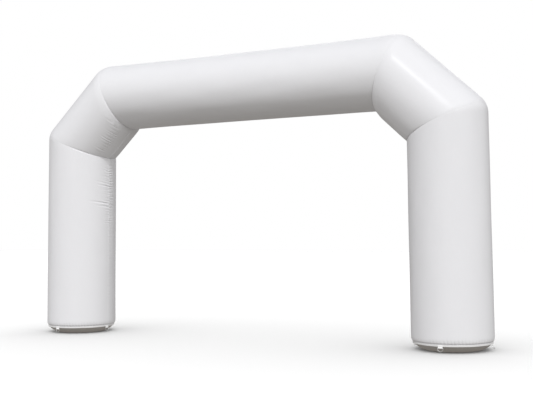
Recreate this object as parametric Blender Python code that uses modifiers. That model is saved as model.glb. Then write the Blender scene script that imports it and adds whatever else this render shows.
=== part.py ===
"""Inflatable arch: five air-filled cloth tubes on two domed feet, with tie rings.

Two upright legs, two slanting shoulders and one level bar are sewn end to end
at mitred seams. Each leg is gathered into a webbing band round a domed base
cloth, and four webbing tabs on the band each hold a steel ring. The origin lies
on the ground midway between the legs. X runs along the span, -Y is the front
and Z is up. All sizes are in metres.
"""

import math

import bmesh
import bpy
from mathutils import Matrix, Vector

# The line of the arch, along the axes of its tubes
LEG_X = 3.19
LEG_TOP_Z = 3.14
BAR_HALF_SPAN = 2.378
BAR_Z = 3.920

# Inflated radius of each tube, and of the two seams of each corner
LEG_RADIUS = 0.5655
SHOULDER_RADIUS = 0.5695
BAR_RADIUS = 0.5345
LOW_SEAM_RADIUS = 0.5655
HIGH_SEAM_RADIUS = 0.547

# Distance from a seam in which a tube comes to its own radius, and the bar's sag
SHOULDER_EASE = 0.16
BAR_EASE = 1.60
BAR_SAG = 0.0065

# Radius of the bend that the outer side makes over each seam
LOW_SEAM_BEND = 0.28
HIGH_SEAM_BEND = 0.28
BEND_RINGS = (0.0, 0.3, 0.65, 1.0)

# The foot, from the ground up: domed base, seam, webbing band, gathered hem
CONTACT_RADIUS = 0.330
SEAM_Z = 0.105
SEAM_RADIUS = 0.5415
BAND_WIDTH = 0.025
BAND_THICKNESS = 0.0025
HEM_TUCK = 0.001
GATHER_HEIGHT = 0.070
GATHER_DEPTH = 0.006
GATHER_UNEVENNESS = 0.3
GATHER_RINGS = (0.0, 0.12, 0.42, 1.0)
GATHERS = 72

# Webbing tabs and the steel rings that they hold, sewn on 2.5 degrees off the axes, one of them further
TIE_TURN = 2.5
TIE_SLIPS = {"left_front": 3.9}
TAB_WIDTH = 0.0635
TAB_TOP_Z = 0.117
WEBBING = 0.0022
WIRE_RADIUS = 0.003
RING_BAR_Z = 0.0735
RING_BAR_LENGTH = 0.067
RING_CORNER = 0.006
RING_BOW_DEPTH = 0.043
RING_BOW_TAPER = 1.3
RING_SWINGS = {"right_outer": 35}
EYE_NECK = 0.013
EYE_SPREAD = math.radians(40)

GAP = 0.0003
SHARP_EDGE = math.radians(40)
TUBE_SIDES = 48
FOOT_SIDES = 72
MIDDLE_RINGS = 4
BASE_STEPS = 5
EYE_STEPS = 10
CORNER_STEPS = 2
BOW_STEPS = 10

SIDES = {"left": -1, "right": 1}
TAB_PLACES = {"outer": 0, "back": 90, "inner": 180, "front": 270}


def clear_scene():
    for old in list(bpy.data.objects):
        bpy.data.objects.remove(old, do_unlink=True)


def new_material(name, colour, roughness, metallic=0.0):
    material = bpy.data.materials.new(name)
    material.use_nodes = True
    shader = material.node_tree.nodes["Principled BSDF"]
    shader.inputs["Base Color"].default_value = (*colour, 1.0)
    shader.inputs["Roughness"].default_value = roughness
    shader.inputs["Metallic"].default_value = metallic
    return material


def add_object(name, data, material):
    data.materials.append(material)
    made = bpy.data.objects.new(name, data)
    bpy.data.collections["inflatable_arch"].objects.link(made)
    return made


def shade(mesh):
    mesh.shade_smooth()
    mesh.set_sharp_from_angle(angle=SHARP_EDGE)


class Mitre:
    """A mitred seam, on the plane that halves the turn between two tubes."""

    def __init__(self, turn, radius, bend):
        self.half_turn = turn / 2
        self.radius = radius
        self.bend = bend
        reach = bend * math.sin(self.half_turn)
        self.rings = [share * reach for share in BEND_RINGS]

    def rounded_off(self, angle, distance):
        """How much the bend takes off the outer side, this far from the seam."""
        half_fold = math.asin(max(0.0, math.cos(angle)) * math.sin(self.half_turn))
        across = max(0.0, self.bend * math.sin(half_fold) - distance)
        return self.bend - math.sqrt(self.bend**2 - across**2)

    def drawn_in(self, angle, distance, radius, ease):
        held = max(0.0, 1 - distance / ease)
        return (radius - self.radius) * held**2 + self.rounded_off(angle, distance)

    def overshoot(self, angle):
        """How far past the end of the axis the seam cuts this line of the tube."""
        radius = self.radius - self.rounded_off(angle, 0.0)
        slope = math.tan(self.half_turn)
        return radius * math.cos(angle) * slope - GAP / 2 / math.cos(self.half_turn)


class Hem:
    """The level lower end of a leg: tucked into the band, then gathered above it."""

    def __init__(self):
        self.tuck_height = BAND_WIDTH / 2 + GAP
        gathered = [self.tuck_height + share * GATHER_HEIGHT for share in GATHER_RINGS]
        self.rings = [0.0] + gathered

    def drawn_in(self, angle, distance, radius, ease):
        above = (distance - self.tuck_height) / GATHER_HEIGHT
        share = min(1.0, max(0.0, above))
        roll = 1 - math.sqrt(1 - (1 - share) ** 2)
        uneven = 1 - GATHER_UNEVENNESS * (1 - math.sin(5 * angle + 1) * math.sin(11 * angle))
        pleat = GATHER_DEPTH * uneven * (1 - math.cos(GATHERS * angle)) / 2
        fading = 4 * math.sqrt(share) * (1 - math.sqrt(share))
        return (radius - SEAM_RADIUS + HEM_TUCK) * roll + pleat * fading

    def overshoot(self, angle):
        return 0.0


def ring_places(length, first, last):
    """Distances along one line of a tube: close together at its ends, even between."""
    near = list(first.rings)
    far = [length - place for place in reversed(last.rings)]
    step = (far[0] - near[-1]) / (MIDDLE_RINGS + 1)
    between = [near[-1] + step * (count + 1) for count in range(MIDDLE_RINGS)]
    return near + between + far


def ringed_cylinder(rings):
    """A cylinder of radius 1 with a ring of points at each whole height."""
    mesh = bmesh.new()
    bmesh.ops.create_cone(
        mesh,
        cap_ends=True,
        segments=TUBE_SIDES,
        radius1=1,
        radius2=1,
        depth=rings - 1,
        matrix=Matrix.Translation((0, 0, (rings - 1) / 2)),
    )
    for height in range(1, rings - 1):
        everything = mesh.verts[:] + mesh.edges[:] + mesh.faces[:]
        bmesh.ops.bisect_plane(mesh, geom=everything, plane_co=(0, 0, height), plane_no=(0, 0, 1))
    return mesh


def refine_gathers(mesh, hem):
    """Adds points round the rings of the hem, two for each gather."""
    top = len(hem.rings) - 1
    level = [
        edge
        for edge in mesh.edges
        if max(vertex.co.z for vertex in edge.verts) < top + 0.5
        and abs(edge.verts[0].co.z - edge.verts[1].co.z) < 0.5
    ]
    cuts = 2 * GATHERS // TUBE_SIDES - 1
    bmesh.ops.subdivide_edges(mesh, edges=level, cuts=cuts, use_grid_fill=True)


def tube(name, start, end, radius, ease, first, last, sag=0.0):
    """A cylinder whose points are moved out to the sewn and inflated tube."""
    along = (end - start).normalized()
    length = (end - start).length
    across = Vector((0, 1, 0))
    away = (start + end) / 2 - Vector((0, 0, LEG_TOP_Z / 2))
    outward = (away - away.project(along)).normalized()

    mesh = ringed_cylinder(len(first.rings) + MIDDLE_RINGS + len(last.rings))
    if isinstance(first, Hem):
        refine_gathers(mesh, first)
    for vertex in mesh.verts:
        angle = math.atan2(vertex.co.y, vertex.co.x)
        low = -first.overshoot(angle)
        line = length + last.overshoot(angle) - low
        place = ring_places(line, first, last)[round(vertex.co.z)]
        inflated = radius
        inflated -= first.drawn_in(angle, place, radius, ease)
        inflated -= last.drawn_in(angle, line - place, radius, ease)
        spoke = math.cos(angle) * outward + math.sin(angle) * across
        vertex.co = start + (low + place) * along + inflated * spoke
        vertex.co.z -= sag * math.sin(math.pi * place / line)
    if mesh.calc_volume(signed=True) < 0:
        bmesh.ops.reverse_faces(mesh, faces=mesh.faces)

    data = bpy.data.meshes.new(name)
    mesh.to_mesh(data)
    mesh.free()
    shade(data)
    return add_object(name, data, cloth)


def turned(name, profile, closed, x, material):
    """A profile in radius and height, turned round the upright axis of a leg."""
    data = bpy.data.meshes.new(name)
    edges = [(index, index + 1) for index in range(len(profile) - 1)]
    if closed:
        edges.append((len(profile) - 1, 0))
    data.from_pydata([(radius, 0, height) for radius, height in profile], edges, [])
    made = add_object(name, data, material)
    made.location.x = x
    screw = made.modifiers.new("turn", "SCREW")
    screw.axis = "Z"
    screw.steps = FOOT_SIDES
    screw.render_steps = FOOT_SIDES
    screw.use_merge_vertices = True
    screw.merge_threshold = 0.0001
    screw.use_smooth_shade = True
    return made


def base(side, sign):
    """The grey cloth under a leg, blown out in one bend from the seam to the ground, where it lies flat."""
    top = SEAM_Z - GAP / 2
    steepest = 2 * math.atan2(top, SEAM_RADIUS - CONTACT_RADIUS)
    bend = (SEAM_RADIUS - CONTACT_RADIUS) / math.sin(steepest)
    profile = [(0.0, top)]
    for step in range(BASE_STEPS + 1):
        turn = steepest * (1 - step / BASE_STEPS)
        profile.append((CONTACT_RADIUS + bend * math.sin(turn), bend * (1 - math.cos(turn))))
    profile.append((0.0, 0.0))
    turned(f"base_{side}", profile, False, sign * LEG_X, base_cloth)


def band(side, sign):
    """The webbing sewn round the seam between a leg and its base."""
    inner = SEAM_RADIUS + GAP
    outer = inner + BAND_THICKNESS
    high = SEAM_Z + BAND_WIDTH / 2
    low = SEAM_Z - BAND_WIDTH / 2
    profile = [(outer, high), (outer, low), (inner, low), (inner, high)]
    turned(f"band_{side}", profile, True, sign * LEG_X, webbing)


def tab_reach(degrees):
    """How far from the leg's axis the two layers of a tab meet, just clear of the band's nearest edge."""
    facet = 360 / FOOT_SIDES
    to_edge = min(degrees % facet, -degrees % facet)
    band_face = (SEAM_RADIUS + GAP + BAND_THICKNESS) * math.cos(math.radians(to_edge))
    return band_face + GAP + WEBBING


def tab_curve():
    """A tab's edge: two layers sewn together above an eye for the ring."""
    eye = WIRE_RADIUS + GAP + WEBBING
    outline = [(-WEBBING, TAB_TOP_Z), (-WEBBING, RING_BAR_Z + EYE_NECK)]
    for step in range(EYE_STEPS + 1):
        turn = math.pi - EYE_SPREAD + (math.pi + 2 * EYE_SPREAD) * step / EYE_STEPS
        outline.append((eye * math.cos(turn), RING_BAR_Z + eye * math.sin(turn)))
    outline += [(WEBBING, RING_BAR_Z + EYE_NECK), (WEBBING, TAB_TOP_Z)]
    hole_radius = (WIRE_RADIUS + GAP) / math.cos(math.pi / EYE_STEPS)
    hole = []
    for step in range(EYE_STEPS):
        turn = 2 * math.pi * step / EYE_STEPS
        hole.append((hole_radius * math.cos(turn), RING_BAR_Z + hole_radius * math.sin(turn)))

    curve = bpy.data.curves.new("tie_tab", "CURVE")
    curve.dimensions = "2D"
    curve.fill_mode = "BOTH"
    curve.extrude = TAB_WIDTH / 2
    for loop in (outline, hole):
        spline = curve.splines.new("POLY")
        spline.points.add(len(loop) - 1)
        for point, (out, height) in zip(spline.points, loop):
            point.co = (out, height, 0, 1)
        spline.use_cyclic_u = True
    return curve


def ring_curve():
    """A steel ring: a straight bar through the tab and a tapering bow below it."""
    half = RING_BAR_LENGTH / 2
    side = []
    for step in range(CORNER_STEPS):
        turn = math.pi / 2 * step / CORNER_STEPS
        out = half + RING_CORNER * math.sin(turn)
        side.append((out, RING_BAR_Z - RING_CORNER * (1 - math.cos(turn))))
    for step in range(BOW_STEPS // 2):
        turn = math.pi * step / BOW_STEPS
        out = (half + RING_CORNER) * math.cos(turn) ** RING_BOW_TAPER
        side.append((out, RING_BAR_Z - RING_CORNER - RING_BOW_DEPTH * math.sin(turn)))
    bottom = (0.0, RING_BAR_Z - RING_CORNER - RING_BOW_DEPTH)
    loop = side + [bottom] + [(-out, height) for out, height in reversed(side)]

    curve = bpy.data.curves.new("tie_ring", "CURVE")
    curve.dimensions = "3D"
    curve.bevel_depth = WIRE_RADIUS
    curve.bevel_resolution = 2
    spline = curve.splines.new("POLY")
    spline.points.add(len(loop) - 1)
    for point, (out, height) in zip(spline.points, loop):
        point.co = (0, out, height, 1)
    spline.use_cyclic_u = True
    return curve


def tie(side, sign, place, degrees):
    """One tab and its ring, on the band at this turn from the outer side."""
    degrees = (degrees if sign > 0 else 180 - degrees) - TIE_TURN - TIE_SLIPS.get(f"{side}_{place}", 0)
    azimuth = math.radians(degrees)
    outward = Vector((math.cos(azimuth), math.sin(azimuth), 0))
    spot = Vector((sign * LEG_X, 0, 0)) + tab_reach(degrees) * outward
    facing = Matrix.Translation(spot) @ Matrix.Rotation(azimuth, 4, "Z")

    tab = add_object(f"tie_tab_{side}_{place}", tab_curve(), webbing)
    tab.matrix_world = facing @ Matrix.Rotation(math.pi / 2, 4, "X")

    ring = add_object(f"tie_ring_{side}_{place}", ring_curve(), steel)
    swing = math.radians(RING_SWINGS.get(f"{side}_{place}", 0))
    pivot = Matrix.Translation((0, 0, RING_BAR_Z))
    ring.matrix_world = facing @ pivot @ Matrix.Rotation(-swing, 4, "Y") @ pivot.inverted()


def build():
    low_turn = math.atan2(LEG_X - BAR_HALF_SPAN, BAR_Z - LEG_TOP_Z)
    high_turn = math.pi / 2 - low_turn
    low_seam = Mitre(low_turn, LOW_SEAM_RADIUS, LOW_SEAM_BEND)
    high_seam = Mitre(high_turn, HIGH_SEAM_RADIUS, HIGH_SEAM_BEND)
    for side, sign in SIDES.items():
        foot = Vector((sign * LEG_X, 0, SEAM_Z + GAP / 2))
        low = Vector((sign * LEG_X, 0, LEG_TOP_Z))
        high = Vector((sign * BAR_HALF_SPAN, 0, BAR_Z))
        tube(f"leg_{side}", foot, low, LEG_RADIUS, SHOULDER_EASE, Hem(), low_seam)
        tube(f"shoulder_{side}", low, high, SHOULDER_RADIUS, SHOULDER_EASE, low_seam, high_seam)
        base(side, sign)
        band(side, sign)
        for place, degrees in TAB_PLACES.items():
            tie(side, sign, place, degrees)
    left = Vector((-BAR_HALF_SPAN, 0, BAR_Z))
    right = Vector((BAR_HALF_SPAN, 0, BAR_Z))
    tube("bar", left, right, BAR_RADIUS, BAR_EASE, high_seam, high_seam, BAR_SAG)


clear_scene()
bpy.context.scene.collection.children.link(bpy.data.collections.new("inflatable_arch"))
cloth = new_material("white_coated_cloth", (0.83, 0.83, 0.86), 0.42)
base_cloth = new_material("grey_base_cloth", (0.42, 0.40, 0.38), 0.65)
webbing = new_material("white_webbing", (0.88, 0.88, 0.88), 0.75)
steel = new_material("ring_steel", (0.66, 0.66, 0.67), 0.28, metallic=1.0)
build()
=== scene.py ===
# %% [markdown]
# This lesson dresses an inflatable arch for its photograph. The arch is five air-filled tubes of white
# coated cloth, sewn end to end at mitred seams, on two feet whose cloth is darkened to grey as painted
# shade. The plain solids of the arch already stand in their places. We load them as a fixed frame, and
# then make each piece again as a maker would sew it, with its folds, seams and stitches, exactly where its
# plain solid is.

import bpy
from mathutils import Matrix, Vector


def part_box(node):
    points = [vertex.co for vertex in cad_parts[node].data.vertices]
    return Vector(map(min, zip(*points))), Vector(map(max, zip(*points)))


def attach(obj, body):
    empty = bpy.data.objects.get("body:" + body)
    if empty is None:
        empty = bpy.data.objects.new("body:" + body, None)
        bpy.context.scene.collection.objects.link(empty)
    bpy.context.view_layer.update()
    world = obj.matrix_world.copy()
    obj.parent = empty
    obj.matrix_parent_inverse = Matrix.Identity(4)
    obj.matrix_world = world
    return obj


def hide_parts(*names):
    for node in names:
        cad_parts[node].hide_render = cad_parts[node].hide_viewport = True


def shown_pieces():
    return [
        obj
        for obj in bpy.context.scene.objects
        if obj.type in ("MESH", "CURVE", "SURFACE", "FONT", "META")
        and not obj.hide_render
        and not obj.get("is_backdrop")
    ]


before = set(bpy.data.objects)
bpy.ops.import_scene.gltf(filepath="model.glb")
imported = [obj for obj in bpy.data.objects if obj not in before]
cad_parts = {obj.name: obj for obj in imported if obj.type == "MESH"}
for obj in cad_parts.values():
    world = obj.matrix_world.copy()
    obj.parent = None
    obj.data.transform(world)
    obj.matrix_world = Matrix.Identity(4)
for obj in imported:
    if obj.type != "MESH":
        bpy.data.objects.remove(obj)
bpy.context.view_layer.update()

# %% [markdown]
# numpy does the same sum for every point of a cloth at once, so a tube with ninety thousand points takes
# a moment and not a minute. The random numbers all come from seeds, so the arch is the same each time.

# %% Bring in the tools
import math

import bmesh
import bpy
import numpy as np
from mathutils import Matrix, Vector

# %% [markdown]
# Most sizes are read from the frame, so the new cloth always fits the old solids. A box has no place
# for the line where two slanting tubes meet, so the few sizes that it can't tell are written here.

# %% Read the sizes of the arch
def middle_of(node):
    low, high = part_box(node)
    return (low + high) / 2


def size_of(node):
    low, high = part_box(node)
    return high - low


SIDES = {"left": -1, "right": 1}
LEG_X = middle_of("band_right").x
SEAM_Z = middle_of("band_right").z
BAND_WIDTH = size_of("band_right").z
SEAM_RADIUS = size_of("base_right").y / 2
LEG_RADIUS = size_of("leg_right").y / 2
SHOULDER_RADIUS = size_of("shoulder_right").y / 2
HIGH_SEAM_RADIUS = size_of("bar").y / 2
BAR_RADIUS = 0.5345
LEG_TOP_Z = 3.14
BAR_HALF_SPAN = 2.378
BAR_Z = 3.920
GAP = 0.0003
print("legs at", round(LEG_X, 3), "radius", round(LEG_RADIUS, 3), "seams of the feet at", round(SEAM_Z, 3))

# %% [markdown]
# The camera comes first, because everything after it is judged through it. Its place was worked out by
# laying the outline of the solids over the outline in the photograph until they agreed. It stands at
# eye height, to the right of the arch, and looks up a little. We turn the three directions of its view
# by hand, because a camera that merely points at a target can't also lean over by half a degree.

# %% Set up the camera
CAMERA_PLACE = Vector((6.4615, -12.222, 1.6006))
CAMERA_TURN = math.radians(26.578)
CAMERA_LIFT = math.radians(4.54)
CAMERA_LEAN = math.radians(-0.514)
level = Vector((math.cos(CAMERA_TURN), math.sin(CAMERA_TURN), 0))
ahead = Vector((-math.sin(CAMERA_TURN), math.cos(CAMERA_TURN), math.tan(CAMERA_LIFT))).normalized()
above = level.cross(ahead)
side_axis = math.cos(CAMERA_LEAN) * level + math.sin(CAMERA_LEAN) * above
top_axis = math.cos(CAMERA_LEAN) * above - math.sin(CAMERA_LEAN) * level

lens = bpy.data.cameras.new("camera")
lens.lens = 60
lens.sensor_width = 36
lens.shift_y = -0.0684
camera = bpy.data.objects.new("camera", lens)
turned = Matrix((side_axis, top_axis, -ahead)).transposed().to_4x4()
camera.matrix_world = Matrix.Translation(CAMERA_PLACE) @ turned
bpy.context.scene.collection.objects.link(camera)
bpy.context.scene.camera = camera
print("the camera is", round((CAMERA_PLACE - middle_of("bar")).length, 2), "metres from the bar")

# %% [markdown]
# Next comes the finish of each cloth. A material in Blender is a small graph of nodes, so we start with
# a few helpers that add a node, set its values and join it to the shader. Numbers that are the same all
# over a cloth are set on the shader itself, and only what changes from place to place comes from nodes.

# %% Helpers for materials
def new_material(name, colour, roughness, **values):
    material = bpy.data.materials.new(name)
    material.use_nodes = True
    shader = material.node_tree.nodes["Principled BSDF"]
    shader.inputs["Base Color"].default_value = (*colour, 1)
    shader.inputs["Roughness"].default_value = roughness
    for socket, value in values.items():
        shader.inputs[socket.replace("_", " ")].default_value = value
    return material


def add_node(material, kind, sources=None, **values):
    """A node of this kind: sources are joined to its sockets, and values are set on it or its sockets."""
    tree = material.node_tree
    node = tree.nodes.new(kind)
    for name, value in values.items():
        if hasattr(node, name):
            setattr(node, name, value)
        else:
            node.inputs[name.replace("_", " ")].default_value = value
    for socket, source in (sources or {}).items():
        tree.links.new(source, node.inputs[socket])
    return node


def join_to_shader(material, socket, source):
    shader = material.node_tree.nodes["Principled BSDF"]
    material.node_tree.links.new(source, shader.inputs[socket])

# %% [markdown]
# Woven cloth is two sets of yarns that pass over and under each other. Seen from close by, that is a
# chequer of tiny humps. Two wave textures at right angles, multiplied, give just that. They need a map
# that runs along the cloth in metres, so each cloth below gets a UV map called cloth: one unit is one
# metre of yarn. Under a coating the weave is nearly filled, so it only shows as a faint grain.

# %% Weave nodes
def wave_across(material, cloth_map, direction, yarn):
    """Ridges one yarn apart, running across U or V."""
    wave = add_node(
        material,
        "ShaderNodeTexWave",
        {"Vector": cloth_map},
        wave_type="BANDS",
        bands_direction=direction,
        Scale=math.pi / 10 / yarn,
    )
    return wave.outputs["Fac"]


def weave_height(material, yarn):
    cloth_map = add_node(material, "ShaderNodeUVMap", uv_map="cloth").outputs["UV"]
    warp = wave_across(material, cloth_map, "X", yarn)
    weft = wave_across(material, cloth_map, "Y", yarn)
    return add_node(material, "ShaderNodeMath", {0: warp, 1: weft}, operation="MULTIPLY").outputs[0]


def raised(material, height, depth, under=None):
    """Turns a height between 0 and 1 into a bump this deep, on top of another bump if there is one."""
    sources = {"Height": height}
    if under is not None:
        sources["Normal"] = under
    return add_node(material, "ShaderNodeBump", sources, Distance=depth).outputs["Normal"]


def cloudy(material, size, detail=2.0):
    """Soft blotches of about this size, in metres, fixed to the object."""
    place = add_node(material, "ShaderNodeTexCoord").outputs["Object"]
    noise = add_node(material, "ShaderNodeTexNoise", {"Vector": place}, Scale=1 / size, Detail=detail)
    return noise.outputs["Fac"]


def between(material, amount, low, high):
    """A value that goes from low to high as the amount goes over the middle of its range."""
    remap = add_node(material, "ShaderNodeMapRange", {"Value": amount})
    for socket, value in (("From Min", 0.3), ("From Max", 0.7), ("To Min", low), ("To Max", high)):
        remap.inputs[socket].default_value = value
    return remap.outputs["Result"]


def tinted(material, amount, first, second):
    mix = add_node(material, "ShaderNodeMix", {"Factor": amount}, data_type="RGBA")
    mix.inputs["A"].default_value = (*first, 1)
    mix.inputs["B"].default_value = (*second, 1)
    return mix.outputs["Result"]

# %% [markdown]
# The tubes are polyester with a thin white coating. It is satin: most light scatters, and a clear skin
# over it gives the soft bright streak that runs down the right shoulder. The coating is a little
# thicker in some places than in others, so its roughness drifts, and handling leaves it faintly uneven.

# %% White coated cloth
def white_coated_cloth():
    coating = {"Specular_IOR_Level": 0.2, "Coat_Weight": 0.11, "Coat_Roughness": 0.25}
    material = new_material("white_coated_cloth", (0.80, 0.80, 0.82), 0.6, **coating)
    drift = cloudy(material, 0.22)
    join_to_shader(material, "Base Color", tinted(material, drift, (0.79, 0.79, 0.81), (0.81, 0.81, 0.83)))
    join_to_shader(material, "Roughness", between(material, drift, 0.55, 0.65))
    slack = raised(material, cloudy(material, 0.05, 1.0), 0.0006)
    grain = raised(material, weave_height(material, 0.0018), 0.00008, slack)
    join_to_shader(material, "Normal", grain)
    return material


tube_cloth = white_coated_cloth()
print("made", tube_cloth.name, "with", len(tube_cloth.node_tree.nodes), "nodes")

# %% [markdown]
# The foot is a heavier cloth with a matt coating and a coarser weave. Its grey colour is painted shade:
# it is set darker than the white tubes for the shade it stands in by the ground. Dust and scuffs make it
# lighter and rougher in patches.

# %% Base cloth, darkened to grey as painted shade
def grey_base_cloth():
    # Painted shade: this grey, and the two greys of the scuffs below, darken the foot's cloth for the shade
    # it stands in by the ground.
    material = new_material("grey_base_cloth", (0.48, 0.455, 0.435), 0.62)
    scuffs = cloudy(material, 0.06, 5.0)
    join_to_shader(material, "Base Color", tinted(material, scuffs, (0.43, 0.41, 0.39), (0.53, 0.505, 0.485)))
    join_to_shader(material, "Roughness", between(material, scuffs, 0.56, 0.72))
    slack = raised(material, cloudy(material, 0.03, 2.0), 0.0008)
    join_to_shader(material, "Normal", raised(material, weave_height(material, 0.003), 0.0002, slack))
    return material


base_cloth = grey_base_cloth()
print("made", base_cloth.name)

# %% [markdown]
# Webbing is thick narrow weaving, with heavy yarns and tight edges. Sewing thread is the same polyester
# but shinier. The rings are plated steel, bright with fine scratches, which only change the roughness.

# %% Webbing, thread and steel
def white_webbing(name, shade):
    material = new_material(name, (shade, shade, shade), 0.7, Sheen_Weight=0.15)
    yarns = weave_height(material, 0.0028)
    tint = tinted(material, yarns, 3 * (shade - 0.05,), 3 * (shade + 0.03,))
    join_to_shader(material, "Base Color", tint)
    join_to_shader(material, "Normal", raised(material, yarns, 0.0005))
    return material


def white_thread():
    material = new_material("white_thread", (0.82, 0.82, 0.82), 0.45)
    ply = cloudy(material, 0.0012, 1.0)
    join_to_shader(material, "Base Color", tinted(material, ply, (0.74, 0.74, 0.74), (0.9, 0.9, 0.9)))
    join_to_shader(material, "Normal", raised(material, ply, 0.0002))
    return material


def ring_steel():
    material = new_material("plated_steel", (0.86, 0.86, 0.87), 0.42, Metallic=1.0)
    scratches = cloudy(material, 0.004, 6.0)
    tint = tinted(material, scratches, (0.80, 0.80, 0.81), (0.90, 0.90, 0.91))
    join_to_shader(material, "Base Color", tint)
    join_to_shader(material, "Roughness", between(material, scratches, 0.34, 0.50))
    return material


webbing = white_webbing("white_webbing", 0.96)
band_webbing = white_webbing("band_webbing", 0.78)
thread = white_thread()
steel = ring_steel()
print("made", webbing.name, band_webbing.name, thread.name, steel.name)

# %% [markdown]
# Every tube is a flat panel of cloth, rolled up and closed by a seam down its inner side. We follow it
# round by a turn that starts at that closing seam, goes to the front, over the outer side and home along
# the back. The turns lie close together by the seam, where there is fine detail, and wider elsewhere.
# Only the gathers at the hem need them all. Above those, every second one is left out where the cloth is
# plain, which saves a third of the points.

# %% Places round a tube
CLOTH_STEP = 0.0077
CREASES_REACH = 0.42
BY_THE_SEAM = np.array([0, 3, 6, 9, 12, 14, 16, 18, 21, 24, 27, 30, 33, 37]) / 1000

half_round = math.pi * LEG_RADIUS
even = np.linspace(0.041, half_round, round((half_round - 0.041) / CLOTH_STEP))
front_half = np.concatenate([BY_THE_SEAM, even]) / LEG_RADIUS
turns = np.concatenate([front_half, 2 * math.pi - front_half[-2:0:-1]])
by_the_seam = np.minimum(turns, 2 * math.pi - turns) * LEG_RADIUS < CREASES_REACH
all_columns = np.arange(len(turns))
kept_columns = all_columns[by_the_seam | (all_columns % 2 == 0)]
print("a ring of cloth has", len(turns), "points at the hem and", len(kept_columns), "elsewhere")

# %% [markdown]
# Two tubes meet at a mitre: both are cut on the plane that halves the angle between them. Air pressure
# rounds the outer side of the corner off, and the stitching holds the cloth back all round. So both
# tubes roll over into a narrow groove, deepest on the inner side of the corner. In the photograph the
# groove is the thin line round each corner: bright where it rolls towards the light, dark where it
# rolls away. The same object answers three questions about a seam: how far the cloth is drawn in, how
# far past its axis a line of cloth runs, and where the rings of points go.

# %% The mitred seams
SEAM_BEND = 0.28
GROOVE_DEPTH = 0.008
GROOVE_WIDTH = 0.011
OUTER_GROOVE = 0.08
SEAM_RINGS = np.array([0, 2, 4, 6, 8, 10, 12, 14, 16, 18, 21, 25, 32, 45, 62, 84, 110]) / 1000


class Mitre:
    """A sewn corner between two tubes, as in the solids but with the groove of its stitching."""

    def __init__(self, turn, radius, grooved_from, grooved_to):
        self.half_turn = turn / 2
        self.radius = radius
        self.grooved_from = grooved_from
        self.grooved_to = grooved_to
        self.rings = SEAM_RINGS

    def rounded_off(self, angle, distance):
        half_fold = np.arcsin(np.maximum(0, np.cos(angle)) * math.sin(self.half_turn))
        across = np.maximum(0, SEAM_BEND * np.sin(half_fold) - distance)
        return SEAM_BEND - np.sqrt(SEAM_BEND**2 - across**2)

    def groove(self, angle, distance):
        inner_share = 0.5 - 0.5 * np.cos(angle)
        share = np.clip((inner_share - self.grooved_from) / (self.grooved_to - self.grooved_from), 0, 1)
        depth = GROOVE_DEPTH * (OUTER_GROOVE + (1 - OUTER_GROOVE) * share**2 * (3 - 2 * share))
        return depth * np.exp(-((distance / GROOVE_WIDTH) ** 2))

    def drawn_in(self, angle, distance, radius, ease):
        held = np.maximum(0, 1 - distance / ease)
        drawn = (radius - self.radius) * held**2 + self.rounded_off(angle, distance)
        return drawn + self.groove(angle, distance)

    def overshoot(self, angle):
        sewn_radius = self.radius - self.rounded_off(angle, 0.0) - self.groove(angle, 0.0)
        slope = math.tan(self.half_turn)
        return sewn_radius * np.cos(angle) * slope - GAP / 2 / math.cos(self.half_turn)


low_turn = math.atan2(LEG_X - BAR_HALF_SPAN, BAR_Z - LEG_TOP_Z)
low_mitre = Mitre(low_turn, LEG_RADIUS, 0.58, 0.85)
high_mitre = Mitre(math.pi / 2 - low_turn, HIGH_SEAM_RADIUS, 0.45, 0.80)
print("the tubes turn by", round(math.degrees(low_turn), 1), "and", round(90 - math.degrees(low_turn), 1))

# %% [markdown]
# At its foot a leg is wider than the seam that it is sewn into, so the cloth is gathered: it rolls in
# over the last 70 mm in short upright folds, about 50 mm apart. A cosine gives even folds. Real ones
# aren't, so the depth of each is drawn from seeded random numbers, the folds wander a little to each
# side and lean, and a power makes the valleys narrow and the cushions between them wide.

# %% The gathered hem
HEM_TUCK = 0.001
GATHERS = 72
GATHER_HEIGHT = 0.070
GATHER_DEPTH = 0.0095
HEM_GROOVE = 0.005
HEM_GROOVE_WIDTH = 0.009
HEM_STEPS = 14


def round_noise(angle, count, seed):
    """Smooth random values from 0 to 1 that fit round a tube, with this many of them to a turn."""
    values = np.random.default_rng(seed).random(count)
    place = (angle / (2 * math.pi)) % 1 * count
    return np.interp(place, np.arange(count + 1), np.append(values, values[0]))


class Hem:
    """The level lower end of a leg, tucked into the band and gathered above it."""

    def __init__(self, seed):
        self.seed = seed
        self.tuck = BAND_WIDTH / 2 + GAP
        roll = np.linspace(0, math.pi / 2, HEM_STEPS)
        rising = self.tuck + GATHER_HEIGHT * (1 - np.cos(roll))
        self.rings = np.concatenate([[0, self.tuck / 2], rising])

    def drawn_in(self, angle, distance, radius, ease):
        share = np.clip((distance - self.tuck) / GATHER_HEIGHT, 0, 1)
        roll = 1 - np.sqrt(1 - (1 - share) ** 2)
        wander = 1.5 * round_noise(angle, 30, self.seed) + 0.9 * share * round_noise(angle, 24, self.seed + 1)
        depth = GATHER_DEPTH * (0.15 + 0.85 * round_noise(angle, GATHERS, self.seed + 2) ** 1.3)
        valley = (0.5 - 0.5 * np.cos(GATHERS * angle + wander - 0.75)) ** 2.2
        fading = 4 * np.sqrt(share) * (1 - np.sqrt(share))
        groove = HEM_GROOVE * np.exp(-((np.maximum(0, distance - self.tuck) / HEM_GROOVE_WIDTH - 0.6) ** 2))
        return (radius - SEAM_RADIUS + HEM_TUCK) * roll + depth * valley * fading + groove * (share > 0)

    def overshoot(self, angle):
        return np.zeros_like(angle)

# %% [markdown]
# The closing seam is a lap: the edge of the back panel is folded under and sewn down over the front one,
# in two rows. Pressure pulls the fold up into a low ridge, whose front flank faces the light and shows
# as a fine bright line with a dark one before it. Behind it the cloth sinks back slowly to its round.
# All of this is a height that depends on the distance from the inner line of the tube, so we write it
# as a sum of smooth steps and bumps, one unit high, and let each tube say how high its ridge stands.

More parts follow.
